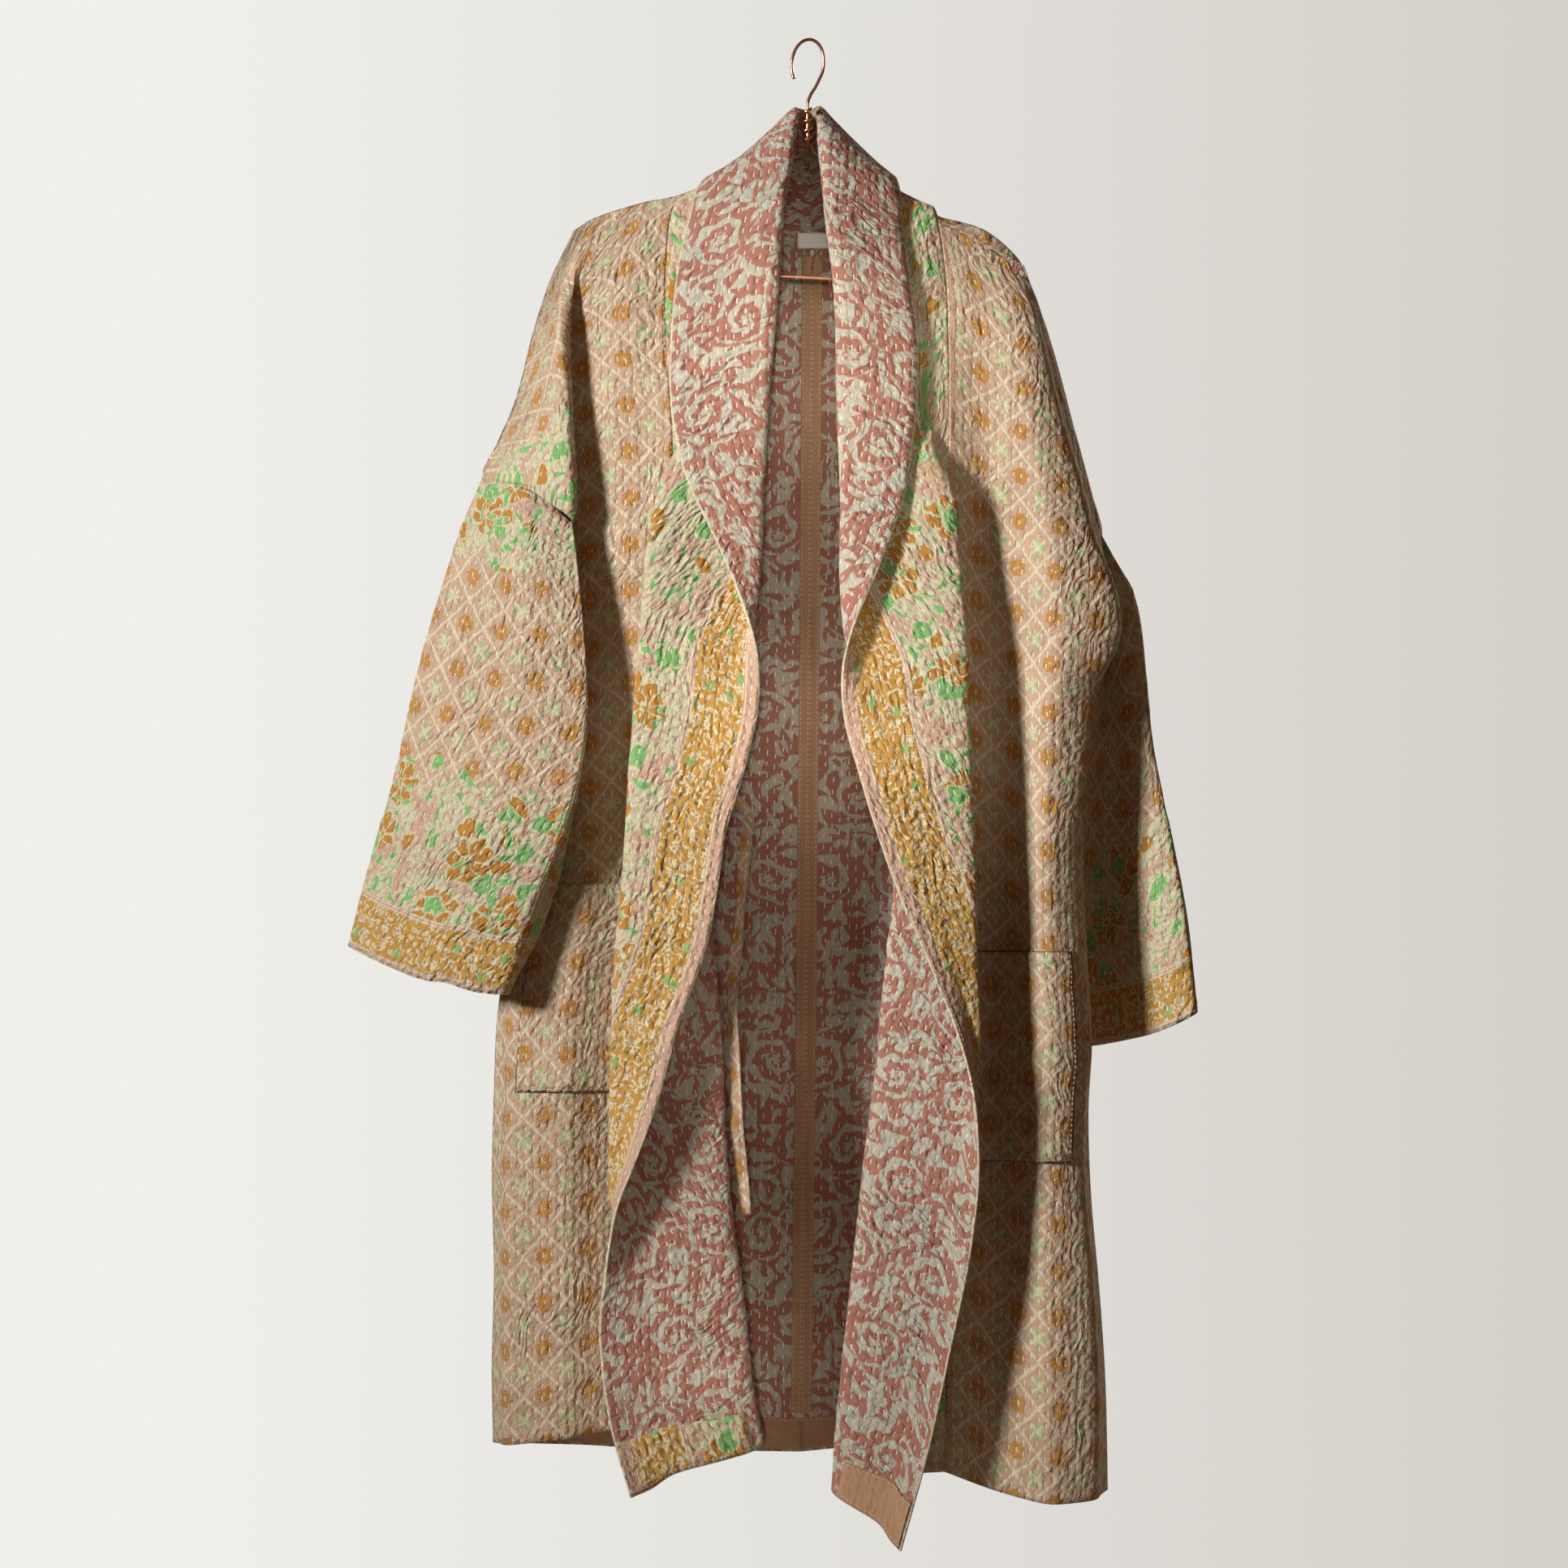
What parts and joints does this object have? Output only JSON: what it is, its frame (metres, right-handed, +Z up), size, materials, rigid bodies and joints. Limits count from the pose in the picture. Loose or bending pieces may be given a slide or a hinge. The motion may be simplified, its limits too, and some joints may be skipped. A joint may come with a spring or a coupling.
{
  "type": "kimono on a hanger",
  "caption": "Open quilted cotton kimono coat with a wide shawl band, dropped sleeves, patch pockets and an inner tie, hung on a copper wire hanger",
  "frame": {"origin": "the inner top of the hanger's hook, where it rests on a rail", "axes": "+Z up; the open front of the coat faces -Y; +X is the viewer's right when looking at the front"},
  "size_m": [0.7524, 0.1993, 1.3319],
  "materials": {
    "outer_print": "printed quilted cotton, dusty pink with small ochre and green flowers",
    "reverse_print": "printed quilted cotton, terracotta with sage scrolls, puckered by running stitches",
    "plain_pink": "plain cotton binding and facing, stitched",
    "label_white": "blank woven tab",
    "copper_wire": "copper-plated wire, satin"
  },
  "bodies": {
    "root": {"band_left": "reverse_print", "band_right": "reverse_print", "front_left": "outer_print", "front_right": "outer_print", "back_left": "outer_print", "back_right": "outer_print", "sleeve_left": "outer_print", "sleeve_right": "outer_print", "pocket_left": "outer_print", "pocket_right": "outer_print", "centre_back_tape_left": "plain_pink", "centre_back_tape_right": "plain_pink", "hem_facing_back_left": "plain_pink", "hem_facing_back_right": "plain_pink", "hem_facing_front_left": "plain_pink", "hem_facing_front_right": "plain_pink", "tie": "outer_print", "neck_label": "label_white", "hanger_hook": "copper_wire", "hanger_arm_left": "copper_wire", "hanger_arm_right": "copper_wire", "hanger_bar": "copper_wire"}
  },
  "joints": []
}
